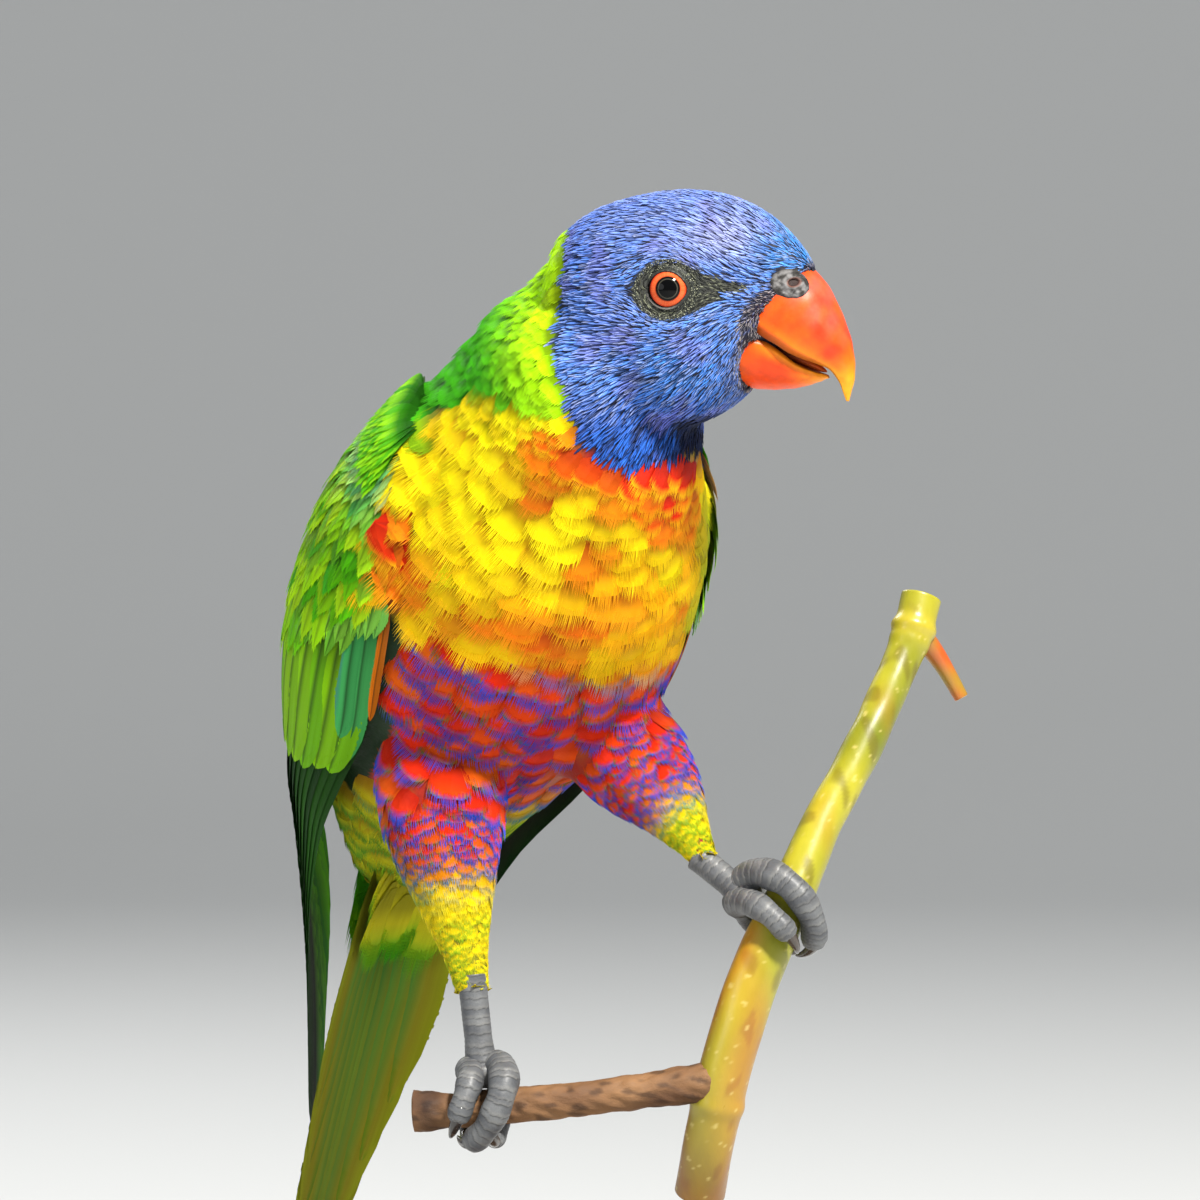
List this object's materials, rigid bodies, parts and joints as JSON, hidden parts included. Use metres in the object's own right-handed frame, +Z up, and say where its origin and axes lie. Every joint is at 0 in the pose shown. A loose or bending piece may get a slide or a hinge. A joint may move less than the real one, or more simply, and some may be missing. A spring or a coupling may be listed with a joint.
{
  "type": "rainbow lorikeet",
  "caption": "Life-size still model of a small parrot with its head turned to its left, gripping a cut forked stem held by a rod on a round display base.",
  "frame": {"origin": "centre of the flat underside of the stand's round base", "axes": "+Z up. The bird's trunk faces -Y with its tail towards +Y, and its left side is +X. Its head is turned about 50 degrees to its left."},
  "size_m": [0.1282, 0.1551, 0.2306],
  "materials": {
    "blue_feathers": "violet-blue streaked feathers",
    "lime_feathers": "yellow-green feathers",
    "breast_feathers": "yellow, orange and red feathers",
    "green_feathers": "bright green feathers",
    "thigh_feathers": "yellow and green feathers",
    "scaly_skin": "grey scaly skin with dark claws",
    "bill_horn": "smooth orange horn",
    "eye": "wet, orange iris and black pupil",
    "green_bark": "smooth young bark",
    "brown_bark": "rough brown bark",
    "rod_steel": "satin",
    "base_wood": "satin varnish"
  },
  "bodies": {
    "root": {"head": "blue_feathers", "neck": "lime_feathers", "trunk": "breast_feathers", "wing_left": "green_feathers", "wing_right": "green_feathers", "tail": "green_feathers", "leg_left": "thigh_feathers", "leg_right": "thigh_feathers", "foot_left": "scaly_skin", "foot_right": "scaly_skin", "bill_upper": "bill_horn", "bill_lower": "bill_horn", "eye_left": "eye", "eye_right": "eye", "perch_stem": "green_bark", "perch_branch": "brown_bark", "stand_rod": "rod_steel", "stand_base": "base_wood"}
  },
  "joints": []
}
